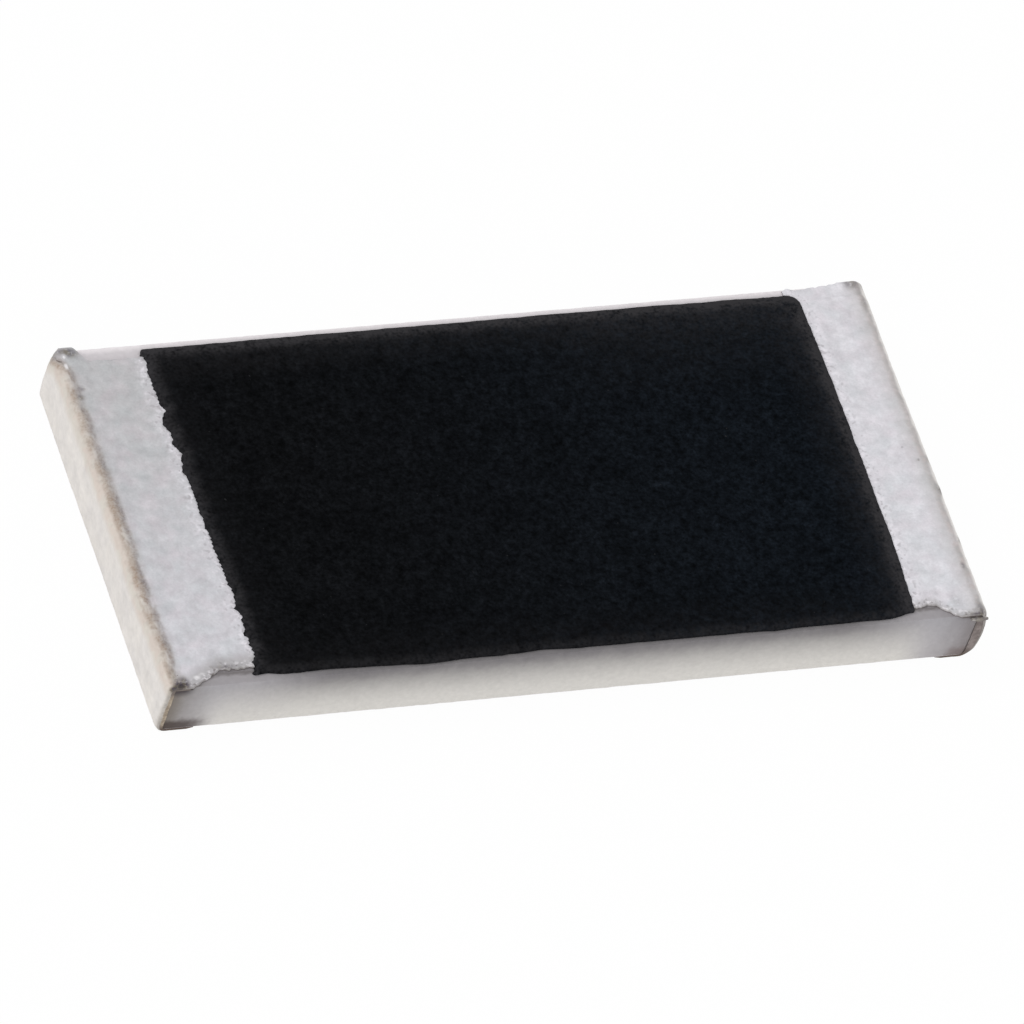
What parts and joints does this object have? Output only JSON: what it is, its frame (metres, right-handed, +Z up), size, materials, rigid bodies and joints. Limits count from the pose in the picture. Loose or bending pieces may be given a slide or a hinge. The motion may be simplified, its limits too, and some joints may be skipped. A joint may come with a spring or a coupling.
{
  "type": "thick film resistor",
  "caption": "Flat rectangular surface-mount chip resistor: white ceramic body, black coated film on top and tin-plated wrap-round terminals at both ends.",
  "frame": {"origin": "middle of the solder side, at the centre of the overall box's base", "axes": "+X along the chip towards the right terminal, +Y across it to the back long side, +Z up from the solder side to the coated face"},
  "size_m": [0.0064, 0.0032, 0.0005],
  "materials": {
    "alumina": "matte",
    "electrode_silver": "matte",
    "resistor_film": "satin",
    "glass_coat": "gloss",
    "overcoat": "matte",
    "end_paste": "matte",
    "nickel": "satin",
    "tin": "matte"
  },
  "bodies": {
    "root": {"substrate": "alumina", "left_top_electrode": "electrode_silver", "right_top_electrode": "electrode_silver", "left_bottom_electrode": "electrode_silver", "right_bottom_electrode": "electrode_silver", "resistor_film": "resistor_film", "glass_coat": "glass_coat", "overcoat": "overcoat", "left_end_termination": "end_paste", "right_end_termination": "end_paste", "left_nickel_barrier": "nickel", "right_nickel_barrier": "nickel", "left_tin_plating": "tin", "right_tin_plating": "tin"}
  },
  "joints": []
}
